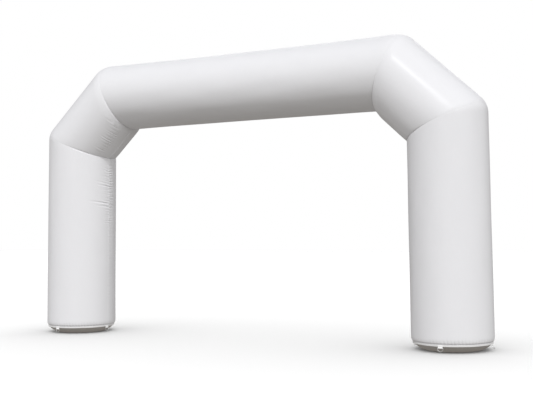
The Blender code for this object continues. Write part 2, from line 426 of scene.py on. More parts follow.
# %% Height of the closing seam
LAP_EDGE = 0.022
LAP_FLANK = 0.011
LAP_FADE = 0.060
LAP_TROUGH = 0.050
LAP_TROUGH_HALF_WIDTH = 0.022
LAP_TROUGH_SHARE = 0.22
BACK_FOLD_EDGE = -0.075
BACK_FOLD_FLANK = 0.014
BACK_FOLD_FADE = 0.045
BACK_FOLD_SHARE = 0.4
STITCH_ROWS = (0.006, -0.014)
STITCH_DENT = 0.0006
STITCH_DENT_HALF_WIDTH = 0.0035


def bump(offset, half_width):
    """A smooth bump, 1 in its middle and 0 from this half width on."""
    reach = np.clip(np.abs(offset) / half_width, 0, 1)
    return 0.5 + 0.5 * np.cos(math.pi * reach)


def step_down(offset, half_width):
    """A smooth step from 1 to 0, half way at zero."""
    share = np.clip(0.5 - offset / (2 * half_width), 0, 1)
    return share**2 * (3 - 2 * share)


def fold(across, edge, flank, fade):
    """A ridge that rises steeply at its edge and sinks back slowly behind it."""
    behind = np.minimum(0, across - edge)
    return step_down(across - edge, flank) * np.exp(-((behind / fade) ** 2))


def closing_seam(across, height):
    ridge = fold(across, LAP_EDGE, LAP_FLANK, LAP_FADE)
    second = BACK_FOLD_SHARE * fold(across, BACK_FOLD_EDGE, BACK_FOLD_FLANK, BACK_FOLD_FADE)
    trough = LAP_TROUGH_SHARE * bump(across - LAP_TROUGH, LAP_TROUGH_HALF_WIDTH)
    dents = sum(bump(across - row, STITCH_DENT_HALF_WIDTH) for row in STITCH_ROWS)
    return height * (ridge + second - trough) - STITCH_DENT * dents

# %% [markdown]
# A seam is always a little shorter than the cloth beside it, because stitching draws it up. The spare
# cloth has to go somewhere, and goes into creases that start at the seam and run round the tube. Each
# crease is a soft trough with a low ridge on both sides. It is deepest near the seam, and widens and
# fades as it goes. A short table holds the creases that show best in the photograph, and a seeded loop
# fills in the small ones between them.

# %% Creases
class Crease:
    """A trough across the cloth: its place along the tube, and how far it reaches from the seam.

    Hold is the share of its length that keeps the full depth before it starts to fade.
    """

    def __init__(self, place, near, far, depth, half_width=0.013, slant=0.0, hold=0.25):
        self.place = place
        self.near = near
        self.far = far
        self.depth = depth
        self.half_width = half_width
        self.slant = slant
        self.hold = hold

    def drawn_in(self, place, across):
        length = self.far - self.near
        along = np.clip((across - self.near) / length, 0, 1)
        start = np.clip(along / 0.15, 0, 1)
        end = np.clip((1 - along) / (1 - self.hold), 0, 1)
        strength = start**2 * (3 - 2 * start) * end**2 * (3 - 2 * end)
        middle = self.place + self.slant * (across - self.near)
        half_width = self.half_width * (0.75 + 0.6 * along) * math.hypot(1, self.slant)
        offset = (place - middle) / half_width
        return self.depth * strength * (1 - 1.5 * offset**2) * np.exp(-(offset**2))


def seam_creases(seed, first, last, spacing, depth, reach):
    """Small creases on one side of a closing seam, uneven in place, depth and reach."""
    chance = np.random.default_rng(seed)
    made = []
    place = first
    while place < last:
        place += spacing * (0.7 + 0.6 * chance.random())
        far = 0.02 + reach * (0.35 + 0.65 * chance.random())
        deep = depth * (0.4 + 0.6 * chance.random())
        made.append(Crease(place, -0.02, far, deep, 0.013, 0.15 * chance.random(), 0.0))
    return made

# %% [markdown]
# Now a whole tube can be shaped. At each place along it and each turn round it, we know how far out the
# air pushes the cloth, and take off what the two seams and the creases draw in. A very gentle swell, a
# millimetre or so over half a metre, keeps the cloth from looking machined: no sewn tube is a perfect
# cylinder. Because this is a formula and not a finished mesh, we can ask it again later where to stitch.

# %% The shape of a tube
SWELL = 0.0011
SWELL_STARTS = 0.08
LAP_STARTS = 0.02
CREASES_START = 0.05
BACKWARDS = np.array((0.0, 1.0, 0.0))
UPWARDS = np.array((0.0, 0.0, 1.0))


def swell(angle, place, seed):
    shift = np.random.default_rng(seed).random(4) * 2 * math.pi
    slow = np.sin(3 * angle + 2.1 * place + shift[0]) + np.sin(5 * angle - 3.7 * place + shift[1])
    quick = np.sin(9 * angle + 5.3 * place + shift[2]) + np.sin(14 * angle - 2.9 * place + shift[3])
    return SWELL * (0.6 * slow + 0.35 * quick)


class Tube:
    """One tube of cloth between two seams."""

    def __init__(self, start, end, radius, first, last, ease, **more):
        self.start = np.array(start)
        self.length = (end - start).length
        along = (end - start).normalized()
        away = (start + end) / 2 - Vector((0, 0, LEG_TOP_Z / 2))
        self.along = np.array(along)
        self.outward = np.array((away - away.project(along)).normalized())
        self.radius = radius
        self.first = first
        self.last = last
        self.ease = ease
        self.sag = more.get("sag", 0.0)
        self.lap = more.get("lap", 0.0025)
        self.front_creases = more.get("front_creases", ())
        self.back_creases = more.get("back_creases", ())
        self.seed = more.get("seed", 1)

    def low(self, turn):
        return -self.first.overshoot(turn - math.pi)

    def line(self, turn):
        """The length of the line of cloth at this turn, from seam to seam."""
        return self.length + self.last.overshoot(turn - math.pi) - self.low(turn)

    def out(self, turn, place):
        """How far the cloth stands from the axis of the tube."""
        angle = turn - math.pi
        to_end = self.line(turn) - place
        height = self.low(turn) + place
        front = turn * self.radius
        back = (2 * math.pi - turn) * self.radius
        from_seam = np.where(front < back, front, -back)
        from_end = np.minimum(place, to_end)
        out = self.radius + swell(angle, height, self.seed) * np.clip(from_end / SWELL_STARTS, 0, 1)
        out -= self.first.drawn_in(angle, place, self.radius, self.ease)
        out -= self.last.drawn_in(angle, to_end, self.radius, self.ease)
        out += closing_seam(from_seam, self.lap) * np.clip(from_end / LAP_STARTS, 0, 1)
        quiet = np.clip(from_end / CREASES_START, 0, 1)
        for crease in self.front_creases:
            out -= quiet * crease.drawn_in(height, from_seam)
        for crease in self.back_creases:
            out -= quiet * crease.drawn_in(height, -from_seam)
        return out

    def at(self, turn, place):
        """The point of the cloth at this turn and this far along its line."""
        turn, place = np.broadcast_arrays(turn, place)
        angle = (turn - math.pi)[..., None]
        spoke = np.cos(angle) * self.outward + np.sin(angle) * BACKWARDS
        height = (self.low(turn) + place)[..., None]
        point = self.start + height * self.along + self.out(turn, place)[..., None] * spoke
        point[..., 2] -= self.sag * np.sin(math.pi * place / self.line(turn))
        return point

# %% [markdown]
# Rings of points cost memory, so they go where the cloth bends most: close to both seams, and where
# there are many creases. A list of places and spacings says how far apart the rings are between the
# seams, and adding up one over the spacing gives the number of rings up to each place.

# %% Rings along a tube
def ring_places(tube, spacings):
    """A row for each ring and a column for each turn: how far along its line of cloth it lies."""
    line = tube.line(turns)
    near = tube.first.rings[:, None] + 0 * line
    far = line - tube.last.rings[::-1, None]
    middle_length = float(np.mean(far[0] - near[-1]))
    place = np.linspace(0, middle_length, 2000)
    places, sizes = zip(*spacings)
    size = np.interp(place + near[-1, 0], places, sizes)
    counted = np.concatenate([[0], np.cumsum((1 / size[1:] + 1 / size[:-1]) / 2 * place[1])])
    rings = max(2, round(counted[-1]))
    share = np.interp(np.linspace(0, counted[-1], rings + 1)[1:-1], counted, place / middle_length)
    return np.concatenate([near, near[-1] + share[:, None] * (far[0] - near[-1]), far])

# %% [markdown]
# A shape is still only rows of points. This helper turns rows into a mesh: each point is joined to its
# neighbours by a four-sided face, and the last column back to the first, because the cloth closes round
# the tube. Where a ring has fewer points than the one below it, the faces between them have five sides.
# Both ends are closed behind the seams, so that each tube is a whole body and no light leaks in.

# %% Faces between rings
SHARP_EDGE = math.radians(50)


def faces_between(low, high, low_columns, high_columns):
    """Faces between two rings of numbered points, of which one may leave some columns out."""
    if len(low_columns) == len(high_columns):
        return np.stack([low, np.roll(low, -1), np.roll(high, -1), high], -1).tolist()
    corners = low_columns if len(low_columns) < len(high_columns) else high_columns
    low_at = np.searchsorted(low_columns, corners)
    high_at = np.searchsorted(high_columns, corners)
    made = []
    for k in range(len(corners)):
        last = k + 1 == len(corners)
        low_run = np.append(low[low_at[k]:], low[0]) if last else low[low_at[k]:low_at[k + 1] + 1]
        high_run = np.append(high[high_at[k]:], high[0]) if last else high[high_at[k]:high_at[k + 1] + 1]
        made.append(low_run.tolist() + high_run[::-1].tolist())
    return made

# %% [markdown]
# The cloth map is written per corner of each face, in metres of cloth. Where the cloth closes, the same
# point is at the start of the panel for one face and at its end for another, so on that column the
# corners at the start are moved on by once round.
#
# Blender counts a face as outward when its corners run anticlockwise as seen from outside. Instead of
# working that out for each shape, we measure the volume: it is below zero when the body is inside out.

# %% Make a mesh from rings of points
def new_object(name, mesh, material):
    made = bpy.data.objects.new(name, mesh)
    mesh.materials.append(material)
    bpy.context.scene.collection.objects.link(made)
    return made


def write_cloth_map(mesh, u, v, once_round):
    corner = np.empty(len(mesh.loops), np.int32)
    mesh.loops.foreach_get("vertex_index", corner)
    first = np.empty(len(mesh.polygons), np.int32)
    mesh.polygons.foreach_get("loop_start", first)
    u_here = u[corner]
    widest = np.maximum.reduceat(u_here, first)
    sides = np.diff(np.append(first, len(corner)))
    u_here = u_here + once_round * (u_here < np.repeat(widest, sides) - once_round / 2)
    layer = mesh.uv_layers.new(name="cloth")
    layer.uv.foreach_set("vector", np.stack([u_here, v[corner]], -1).astype(np.float32).reshape(-1))


def volume_of(mesh):
    """The volume inside a mesh, below zero if its faces point inwards."""
    body = bmesh.new()
    body.from_mesh(mesh)
    volume = body.calc_volume(signed=True)
    body.free()
    return volume


def rolled_mesh(name, at, u, v, material, columns_of_ring=None):
    """A closed body from rings of points, with u round it and v along it in metres of cloth."""
    rings, round_it = at.shape[:2]
    if columns_of_ring is None:
        columns_of_ring = [np.arange(round_it)] * rings
    used = np.zeros((rings, round_it), bool)
    for ring, columns in enumerate(columns_of_ring):
        used[ring, columns] = True
    number = np.cumsum(used).reshape(used.shape) - 1
    faces = []
    for ring in range(rings - 1):
        low_columns, high_columns = columns_of_ring[ring:ring + 2]
        low, high = number[ring, low_columns], number[ring + 1, high_columns]
        faces += faces_between(low, high, low_columns, high_columns)
    faces.append(number[0, columns_of_ring[0]][::-1].tolist())
    faces.append(number[-1, columns_of_ring[-1]].tolist())
    mesh = bpy.data.meshes.new(name)
    mesh.from_pydata(at[used], [], faces)
    once_round = abs(u[1] - u[0]) + abs(u[-1] - u[0])
    write_cloth_map(mesh, np.broadcast_to(u, used.shape)[used], v[used], once_round)
    if volume_of(mesh) < 0:
        mesh.flip_normals()
    mesh.shade_smooth()
    mesh.set_sharp_from_angle(angle=SHARP_EDGE)
    return new_object(name, mesh, material)

# %% [markdown]
# Straps and wires are swept the other way: a section is carried along a line. The faces are the same,
# and a line that closes on itself just needs its first section again at the end.

# %% Sweep a section along a line
def swept_mesh(name, at, u, v, material, closed):
    """A body swept along a line: a row for each place on the line, a column for each of its section."""
    rows, section = at.shape[:2]
    number = np.arange(rows * section).reshape(rows, section)
    if closed:
        number = np.concatenate([number, number[:1]])
    following = np.roll(number, -1, axis=1)
    faces = np.stack([number[:-1], following[:-1], following[1:], number[1:]], -1).reshape(-1, 4).tolist()
    if not closed:
        faces += [number[0, ::-1].tolist(), number[-1].tolist()]
    mesh = bpy.data.meshes.new(name)
    mesh.from_pydata(at.reshape(-1, 3), [], faces)
    write_cloth_map(mesh, np.broadcast_to(u, at.shape[:2]).reshape(-1), v.reshape(-1), 2 * u[-1] - u[-2])
    if volume_of(mesh) < 0:
        mesh.flip_normals()
    mesh.shade_smooth()
    mesh.set_sharp_from_angle(angle=SHARP_EDGE)
    return new_object(name, mesh, material)


# %% [markdown]
# Each finished piece takes the place of its plain solid, and this is where we check that it still fits:
# the print says how far its box is from that of the solid. A tube is rolled in one go: the rings are
# laid out, and the formula gives their points.

# %% Dress a piece and roll a tube
def dress(piece, node):
    """The piece stands in for its solid and moves with the arch, and the print says how far their boxes are
    apart.
    """
    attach(piece, "root")
    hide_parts(node)
    corners = np.array(piece.bound_box)
    low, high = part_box(node)
    apart = max(np.abs(corners.min(0) - low).max(), np.abs(corners.max(0) - high).max())
    print(f"{piece.name}: {len(piece.data.polygons)} faces, within {apart * 1000:.1f} mm of its solid")


def roll_tube(name, tube, spacings):
    place = ring_places(tube, spacings)
    at = tube.at(turns, place)
    v = tube.low(turns) + place
    gathered = len(tube.first.rings) if isinstance(tube.first, Hem) else 0
    columns = [all_columns] * gathered + [kept_columns] * (len(place) - gathered)
    piece = rolled_mesh(name + "_cloth", at, turns * tube.radius, v, tube_cloth, columns)
    dress(piece, name)
    return piece

# %% [markdown]
# The left leg shows its closing seam to the camera, so it has the most to tell. Its strongest creases
# were measured on the photograph: how high they start, how far round they run and how steeply. The
# top metre of the leg is drawn up most, because there the seam was sewn tightest.

# %% The creases of the left leg
def at_height(z):
    return z - SEAM_Z


left_leg_front = [
    Crease(at_height(2.131), 0.0, 0.46, 0.0080, 0.017, 0.11),
    Crease(at_height(2.081), 0.0, 0.32, 0.0050, 0.015, 0.07),
    Crease(at_height(2.700), -0.01, 0.22, 0.0042, 0.014, 0.26, 0.0),
    Crease(at_height(2.659), -0.01, 0.24, 0.0045, 0.014, 0.26, 0.0),
    Crease(at_height(2.569), -0.01, 0.22, 0.0045, 0.014, 0.16, 0.0),
    Crease(at_height(2.460), -0.01, 0.36, 0.0045, 0.014, 0.17, 0.1),
    Crease(at_height(2.418), -0.01, 0.34, 0.0045, 0.014, 0.13, 0.1),
]
left_leg_front += seam_creases(11, at_height(2.71), at_height(2.82), 0.046, 0.0045, 0.12)
left_leg_front += seam_creases(15, at_height(2.58), at_height(2.63), 0.046, 0.0045, 0.17)
left_leg_front += seam_creases(16, at_height(2.46), at_height(2.53), 0.046, 0.0045, 0.20)
left_leg_front += seam_creases(12, at_height(2.14), at_height(2.37), 0.047, 0.0050, 0.24)
left_leg_front += seam_creases(13, at_height(1.75), at_height(2.03), 0.047, 0.0045, 0.17)
left_leg_front += seam_creases(14, at_height(0.50), at_height(1.72), 0.049, 0.0030, 0.12)

left_leg_back = [
    Crease(at_height(2.135), -0.01, 0.28, 0.0075, 0.017, -0.24),
    Crease(at_height(2.896), 0.0, 0.20, 0.0090, 0.018, -1.03),
]
left_leg_back += seam_creases(21, at_height(2.15), at_height(2.80), 0.047, 0.0085, 0.24)
left_leg_back += seam_creases(22, at_height(1.75), at_height(2.09), 0.047, 0.0055, 0.20)
left_leg_back += seam_creases(23, at_height(0.50), at_height(1.72), 0.049, 0.0032, 0.15)
print("the left leg has", len(left_leg_front) + len(left_leg_back), "creases")

# %% [markdown]
# Both legs are the same tube, mirrored. A leg starts at its hem, in the middle of the band, and ends at
# the low mitre, where the shoulder is sewn on.

# %% Roll both legs
def leg(side, **more):
    x = SIDES[side] * LEG_X
    start = Vector((x, 0, SEAM_Z + GAP / 2))
    end = Vector((x, 0, LEG_TOP_Z))
    hem = Hem(40 + SIDES[side])
    return Tube(start, end, LEG_RADIUS, hem, low_mitre, 0.16, **more)


right_leg_front = seam_creases(31, 0.5, 2.7, 0.055, 0.0010, 0.14)
right_leg_back = seam_creases(32, 0.5, 2.7, 0.052, 0.0010, 0.14)
tubes = {
    "leg_left": leg("left", front_creases=left_leg_front, back_creases=left_leg_back, seed=3),
    "leg_right": leg("right", front_creases=right_leg_front, back_creases=right_leg_back, seed=4),
}
pieces = {}
pieces["leg_left"] = roll_tube(
    "leg_left", tubes["leg_left"], [(0.25, 0.03), (0.38, 0.011), (1.5, 0.011), (1.65, 0.009), (2.75, 0.009)]
)
pieces["leg_right"] = roll_tube("leg_right", tubes["leg_right"], [(0.0, 0.03), (2.75, 0.03)])

# %% [markdown]
# The shoulders lean in to carry the bar. The left one has creases of its own: they lie on the front, run
# round the tube like hoops, and don't reach the seam. They come from the tug between the two mitres.

# %% The creases of the left shoulder
left_shoulder_front = [
    Crease(0.945, 0.33, 0.68, 0.0030, 0.013),
    Crease(0.913, 0.28, 0.68, 0.0050, 0.013),
    Crease(0.865, 0.23, 0.65, 0.0055, 0.014),
    Crease(0.825, 0.24, 0.50, 0.0025, 0.013),
    Crease(0.770, 0.22, 0.48, 0.0025, 0.013),
    Crease(0.710, 0.18, 0.52, 0.0042, 0.013),
    Crease(0.680, 0.18, 0.49, 0.0042, 0.013),
    Crease(0.625, 0.20, 0.46, 0.0025, 0.013),
    Crease(0.572, 0.20, 0.54, 0.0045, 0.013),
    Crease(0.533, 0.18, 0.52, 0.0042, 0.013),
    Crease(0.480, 0.18, 0.42, 0.0025, 0.013),
    Crease(0.430, 0.18, 0.40, 0.0020, 0.013),
    Crease(0.355, 0.20, 0.48, 0.0034, 0.013),
    Crease(0.308, 0.18, 0.45, 0.0036, 0.013),
    Crease(0.250, 0.18, 0.40, 0.0022, 0.013),
]

# %% [markdown]
# The right shoulder is the left one mirrored, so one function makes either. It runs from corner to corner,
# with its lap standing higher than on the legs, because the seam is bent here as well as drawn up.

# %% Roll both shoulders
def shoulder(side, **more):
    sign = SIDES[side]
    start = Vector((sign * LEG_X, 0, LEG_TOP_Z))
    end = Vector((sign * BAR_HALF_SPAN, 0, BAR_Z))
    return Tube(start, end, SHOULDER_RADIUS, low_mitre, high_mitre, 0.16, lap=0.009, **more)


left_shoulder_back = seam_creases(41, 0.15, 0.95, 0.05, 0.0012, 0.15)
right_shoulder_front = seam_creases(42, 0.15, 0.95, 0.05, 0.0010, 0.15)
right_shoulder_back = seam_creases(43, 0.15, 0.95, 0.05, 0.0012, 0.15)
tubes["shoulder_left"] = shoulder(
    "left", front_creases=left_shoulder_front, back_creases=left_shoulder_back, seed=5
)
tubes["shoulder_right"] = shoulder(
    "right", front_creases=right_shoulder_front, back_creases=right_shoulder_back, seed=6
)
for name, step in (("shoulder_left", 0.009), ("shoulder_right", 0.014)):
    pieces[name] = roll_tube(name, tubes[name], [(0.0, step), (1.2, step)])

# %% [markdown]
# The bar is slimmer than the seams at its ends, so it flares a little towards them, over a good part of
# its length. It also hangs 6 mm low in the middle, from its own weight.

# %% Roll the bar
bar_start = Vector((-BAR_HALF_SPAN, 0, BAR_Z))
bar_end = Vector((BAR_HALF_SPAN, 0, BAR_Z))
bar_front = seam_creases(51, 0.5, 4.2, 0.06, 0.0009, 0.14)
bar_back = seam_creases(52, 0.5, 4.2, 0.06, 0.0009, 0.14)
tubes["bar"] = Tube(
    bar_start,
    bar_end,
    BAR_RADIUS,
    high_mitre,
    high_mitre,
    1.6,
    sag=0.0065,
    front_creases=bar_front,
    back_creases=bar_back,
    seed=7,
)
pieces["bar"] = roll_tube("bar", tubes["bar"], [(0.0, 0.036), (4.75, 0.036)])
print("the five tubes have", sum(len(piece.data.polygons) for piece in pieces.values()), "faces")

# %% [markdown]
# Under each leg is a shallow dome of cloth, blown tight by the same air and flattened where it stands.
# Its grey colour is painted shade. Air bends a free strip of cloth evenly, so its profile is one arc of a
# circle that comes down from the band and meets the ground without a corner. The band draws this cloth
# together too, so short shallow folds run down from it and are gone half way to the ground.

# %% Domed bases
CONTACT_RADIUS = 0.330
BASE_TURNS = 432
BASE_RINGS = 18
BASE_FOLDS = 64
BASE_FOLD_DEPTH = 0.0032


def domed_base(side, seed):
    top = SEAM_Z - GAP / 2
    steepest = 2 * math.atan2(top, SEAM_RADIUS - CONTACT_RADIUS)
    bend = (SEAM_RADIUS - CONTACT_RADIUS) / math.sin(steepest)
    roll = np.linspace(0, steepest, BASE_RINGS)[:, None]
    angle = np.linspace(0, 2 * math.pi, BASE_TURNS, endpoint=False)[None, :]
    height = bend * (1 - np.cos(roll)) + 0 * angle
    depth = BASE_FOLD_DEPTH * round_noise(angle, BASE_FOLDS, seed)
    valley = (0.5 - 0.5 * np.cos(BASE_FOLDS * angle + 2 * round_noise(angle, 20, seed + 1))) ** 2
    radius = CONTACT_RADIUS + bend * np.sin(roll)
    radius = radius - depth * valley * np.sin(math.pi * np.clip(height / top, 0.4, 1) / 0.6 - 2 * math.pi / 3)
    spoke = np.stack([np.cos(angle), np.sin(angle)], -1) + 0 * height[..., None]
    at = np.concatenate([radius[..., None] * spoke, height[..., None]], -1)
    at[..., 0] += SIDES[side] * LEG_X
    u = angle[0] * SEAM_RADIUS
    v = bend * roll + 0 * angle
    piece = rolled_mesh(f"base_{side}_cloth", at, u, v, base_cloth)
    dress(piece, f"base_{side}")
    return piece


for side in SIDES:
    pieces[f"base_{side}"] = domed_base(side, 60 + SIDES[side])

# %% [markdown]
# A band of webbing covers the seam between leg and base. Webbing is thick, so its edges are round and
# its face is a little crowned. Sewn over gathers, it can't lie quite true: it waves in and out by half a
# millimetre, and up and down by a little more. We sweep its section round the foot.

# %% Webbing bands
BAND_FACE = 0.0031
BAND_TURNS = 480
BAND_EDGE = 0.0009


def webbing_section(half_width, thickness, edge):
    """Half widths and heights of a strap's section, with round edges, from its face to its back."""
    corner = np.linspace(0, math.pi / 2, 4)
    flat = half_width - edge
    across = np.concatenate([flat + edge * np.sin(corner), flat + edge * np.cos(corner)])
    over = np.concatenate([thickness - edge + edge * np.cos(corner), edge - edge * np.sin(corner)])
    face = np.linspace(-half_width + 2 * edge, half_width - 2 * edge, 6)
    across = np.concatenate([face, across, -across[::-1]])
    over = np.concatenate([thickness + 0 * face, over, over[::-1]])
    return across, over


def band_waves(angle, seed):
    """How far the band stands out and up from its even course at each angle."""
    return 0.0005 * round_noise(angle, 90, seed), 0.0016 * (round_noise(angle, 56, seed + 1) - 0.5)


def band(side, seed):
    across, over = webbing_section(BAND_WIDTH / 2, BAND_FACE, BAND_EDGE)
    angle = np.linspace(0, 2 * math.pi, BAND_TURNS, endpoint=False)[:, None]
    wave_out, wave_up = band_waves(angle, seed)
    radius = SEAM_RADIUS + GAP + over + wave_out
    height = SEAM_Z + across + wave_up
    at = np.stack([radius * np.cos(angle) + SIDES[side] * LEG_X, radius * np.sin(angle), height], -1)
    u = np.concatenate([[0], np.cumsum(np.hypot(np.diff(across), np.diff(over)))])
    v = angle * SEAM_RADIUS + 0 * u
    piece = swept_mesh(f"band_{side}_webbing", at, u, v, band_webbing, closed=True)
    dress(piece, f"band_{side}")
    return piece


for side in SIDES:
    pieces[f"band_{side}"] = band(side, 70 + SIDES[side])

# %% [markdown]
# Eight loops of webbing hold the rings that the guy ropes are tied to. Each is one strip, folded round
# the straight bar of its ring and sewn flat to the band. We draw the strip from the side as a line: down
# in front, round the bar and up behind. Then we give the line its thickness, and sweep it sideways with
# a slightly drawn-in edge, as cut webbing has. The frame's boxes say where each tab and each ring is.

# %% Where the ties are
WIRE_RADIUS = 0.003
STRIP = 0.0020
EYE_NECK = 0.013
RING_BAR_LENGTH = 0.067
RING_CORNER = 0.006
RING_BOW_DEPTH = 0.043
RING_BOW_TAPER = 1.3
TAB_WIDTH = 0.0635
EYE_RADIUS = WIRE_RADIUS + GAP + STRIP / 2
PLACES = ("outer", "back", "inner", "front")


class Tie:
    """The place of one tab and its ring: the middle of the ring's bar, and the ways out and along."""

    def __init__(self, side, place):
        self.name = f"{side}_{place}"
        tab = middle_of("tie_tab_" + self.name)
        tab_low, self.tab_top = (corner.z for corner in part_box("tie_tab_" + self.name))
        leg = Vector((SIDES[side] * LEG_X, 0, 0))
        self.bar = Vector((tab.x, tab.y, tab_low + EYE_RADIUS + STRIP / 2 + 0.0002))
        self.out = Vector((tab.x - leg.x, tab.y, 0)).normalized()
        self.along = Vector((0, 0, 1)).cross(self.out)
        ring_low, ring_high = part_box("tie_ring_" + self.name)
        hangs = (self.bar.z - ring_low.z - WIRE_RADIUS) / (RING_CORNER + RING_BOW_DEPTH)
        self.swing = math.acos(min(1, hangs))

    def place(self, out, along, up):
        """Points this far out, along the bar and up from the middle of the bar."""
        point = np.array(self.bar)
        for step, way in ((out, self.out), (along, self.along), (up, UPWARDS)):
            point = point + np.asarray(step)[..., None] * np.array(way)
        return point


ties = [Tie(side, place) for side in SIDES for place in PLACES]
for tie in ties:
    swung = round(math.degrees(tie.swing))
    print("tie", tie.name, "hangs at", round(tie.bar.z, 4), "swung out by", swung, "degrees")

# %% [markdown]
# The strip's line is a half circle round the bar with a neck above it. Its thickness is added square to
# the line, so we ask for the direction of the line at every point and turn it by a right angle.

# %% Folded webbing tabs
TAB_STATIONS = 25
TAB_FLARE = 0.0012


def strip_line(top):
    """Out and up of the strip's middle line, from the top in front, round the bar, to the top behind."""
    spread = math.radians(40)
    turn = np.linspace(-spread, math.pi + spread, 22)
    eye_out = EYE_RADIUS * np.cos(turn)
    eye_up = -EYE_RADIUS * np.sin(turn)
    straight = np.linspace(top, EYE_NECK, 12)
    layer = STRIP / 2 + 0.0001
    out = np.concatenate([layer + 0 * straight, eye_out, -layer + 0 * straight])
    up = np.concatenate([straight, eye_up, straight[::-1]])
    return out, up


def tab(tie):
    out, up = strip_line(tie.tab_top - tie.bar.z)
    way_out = np.gradient(out)
    way_up = np.gradient(up)
    size = np.hypot(way_out, way_up)
    side_out, side_up = -way_up / size, way_out / size
    across, over = webbing_section(TAB_WIDTH / 2, STRIP, 0.0007)
    over = over - STRIP / 2
    share = np.clip(up / up.max(), 0, 1)[:, None]
    wider = across * (1 + TAB_FLARE * share / TAB_WIDTH)
    at = tie.place(out[:, None] + over * side_out[:, None], wider, up[:, None] + over * side_up[:, None])
    u = np.concatenate([[0], np.cumsum(np.hypot(np.diff(across), np.diff(over)))])
    v = np.concatenate([[0], np.cumsum(np.hypot(np.diff(out), np.diff(up)))])[:, None] + 0 * u
    piece = swept_mesh(f"tie_tab_{tie.name}_webbing", at, u, v, webbing, closed=False)
    dress(piece, "tie_tab_" + tie.name)
    return piece


for tie in ties:
    pieces["tie_tab_" + tie.name] = tab(tie)

# %% [markdown]
# A ring is bent from one steel wire: a straight bar through the tab, and a tapering bow that a rope
# slides to the bottom of. The wire follows a closed line, and at each point a circle stands square to
# the line. The bow may be swung out round its bar, as one of them is in the photograph.

# %% Steel rings
WIRE_SIDES = 14


def ring_line():
    """Along and down of the wire's middle line, once round."""
    half = RING_BAR_LENGTH / 2
    corner = np.linspace(0, math.pi / 2, 6)[:-1]
    bow = np.linspace(0, math.pi / 2, 15)
    corner_along = half + RING_CORNER * np.sin(corner)
    corner_down = RING_CORNER * (1 - np.cos(corner))
    bow_along = (half + RING_CORNER) * np.cos(bow) ** RING_BOW_TAPER
    bow_down = RING_CORNER + RING_BOW_DEPTH * np.sin(bow)
    along = np.concatenate([[0], corner_along, bow_along])
    down = np.concatenate([[0], corner_down, bow_down])
    return np.concatenate([along, -along[-2:0:-1]]), np.concatenate([down, down[-2:0:-1]])


def ring(tie):
    along, down = ring_line()
    line = tie.place(down * math.sin(tie.swing), along, -down * math.cos(tie.swing))
    way = np.roll(line, -1, axis=0) - np.roll(line, 1, axis=0)
    way /= np.linalg.norm(way, axis=1, keepdims=True)
    face = np.array(tie.out) * math.cos(tie.swing) + UPWARDS * math.sin(tie.swing)
    side_way = np.cross(way, face)
    turn = np.linspace(0, 2 * math.pi, WIRE_SIDES, endpoint=False)[None, :, None]
    at = line[:, None] + WIRE_RADIUS * (np.cos(turn) * face + np.sin(turn) * side_way[:, None])
    u = turn[0, :, 0] * WIRE_RADIUS
    v = np.linspace(0, 0.22, len(line))[:, None] + 0 * u
    piece = swept_mesh(f"tie_ring_{tie.name}_steel", at, u, v, steel, closed=True)
    dress(piece, "tie_ring_" + tie.name)
    return piece


for tie in ties:
    pieces["tie_ring_" + tie.name] = ring(tie)

# %% [markdown]
# Thread comes last, as in the workshop. A stitch is a short piece of thread that comes up out of the cloth
# and goes down again, so it is four small triangles in a row, with both ends sunk into the cloth. An array
# modifier could repeat one along a curve, but it wouldn't follow the ridges and creases. So each row is a
# function that gives a point of the cloth and its way outwards, and we ask it for every stitch in turn.

# %% Stitches
STITCH_PITCH = 0.008
STITCH_LENGTH = 0.005
STITCH_HALF_WIDTH = 0.0006
STITCH_STATIONS = np.array([0.0, 0.25, 0.75, 1.0])
STITCH_LIFT = np.array([-0.0008, 0.0004, 0.0004, -0.0008])[:, None]
STITCH_CORNERS = 3 * len(STITCH_STATIONS)


def faces_of_a_stitch():
    made = [[9, 10, 11], [2, 1, 0]]
    for first in (0, 3, 6):
        for corner in range(3):
            following = (corner + 1) % 3
            made.append([first + corner, first + following, first + 3 + following, first + 3 + corner])
    return made


def sew(name, rows):
    """All the stitches of these rows as one piece. Each row is its function and its length."""
    corners = []
    for row, length in rows:
        sewn = np.arange(int(length / STITCH_PITCH))[:, None] * STITCH_PITCH + STITCH_LENGTH * STITCH_STATIONS
        at, out = row(sewn)
        way = np.gradient(at, axis=1)
        side = STITCH_HALF_WIDTH * np.cross(way / np.linalg.norm(way, axis=-1, keepdims=True), out)
        at = at + STITCH_LIFT * out
        corners.append(np.stack([at + side, at + STITCH_HALF_WIDTH * out, at - side], 2).reshape(-1, 3))
    corners = np.concatenate(corners)
    one_stitch = faces_of_a_stitch()
    faces = []
    for first in range(0, len(corners), STITCH_CORNERS):
        faces += [[first + corner for corner in face] for face in one_stitch]
    mesh = bpy.data.meshes.new(name)
    mesh.from_pydata(corners, [], faces)
    if volume_of(mesh) < 0:
        mesh.flip_normals()
    piece = new_object(name, mesh, thread)
    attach(piece, "root")
    print(name, "has", len(corners) // STITCH_CORNERS, "stitches")
    return piece

# %% [markdown]
# A tube has two rows along its closing seam and one beside each mitre. The tube's own formula says where
# the cloth is, so the stitches sit in it whatever creases it has.

# %% Sew the tubes
MITRE_ROW = 0.015
ROW_END = 0.03


def on_tube(tube, turn, place):
    angle = (turn - math.pi)[..., None]
    return tube.at(turn, place), np.cos(angle) * tube.outward + np.sin(angle) * BACKWARDS


def closing_row(tube, across):
    turn = across / tube.radius % (2 * math.pi)
    length = float(tube.line(np.array(turn)))
    return lambda sewn: on_tube(tube, turn + 0 * sewn, ROW_END + sewn), length - 2 * ROW_END


def mitre_row(tube, at_the_end):
    def row(sewn):
        turn = sewn / tube.radius
        place = tube.line(turn) - MITRE_ROW if at_the_end else MITRE_ROW + 0 * sewn
        return on_tube(tube, turn, place)

    return row, 2 * math.pi * tube.radius


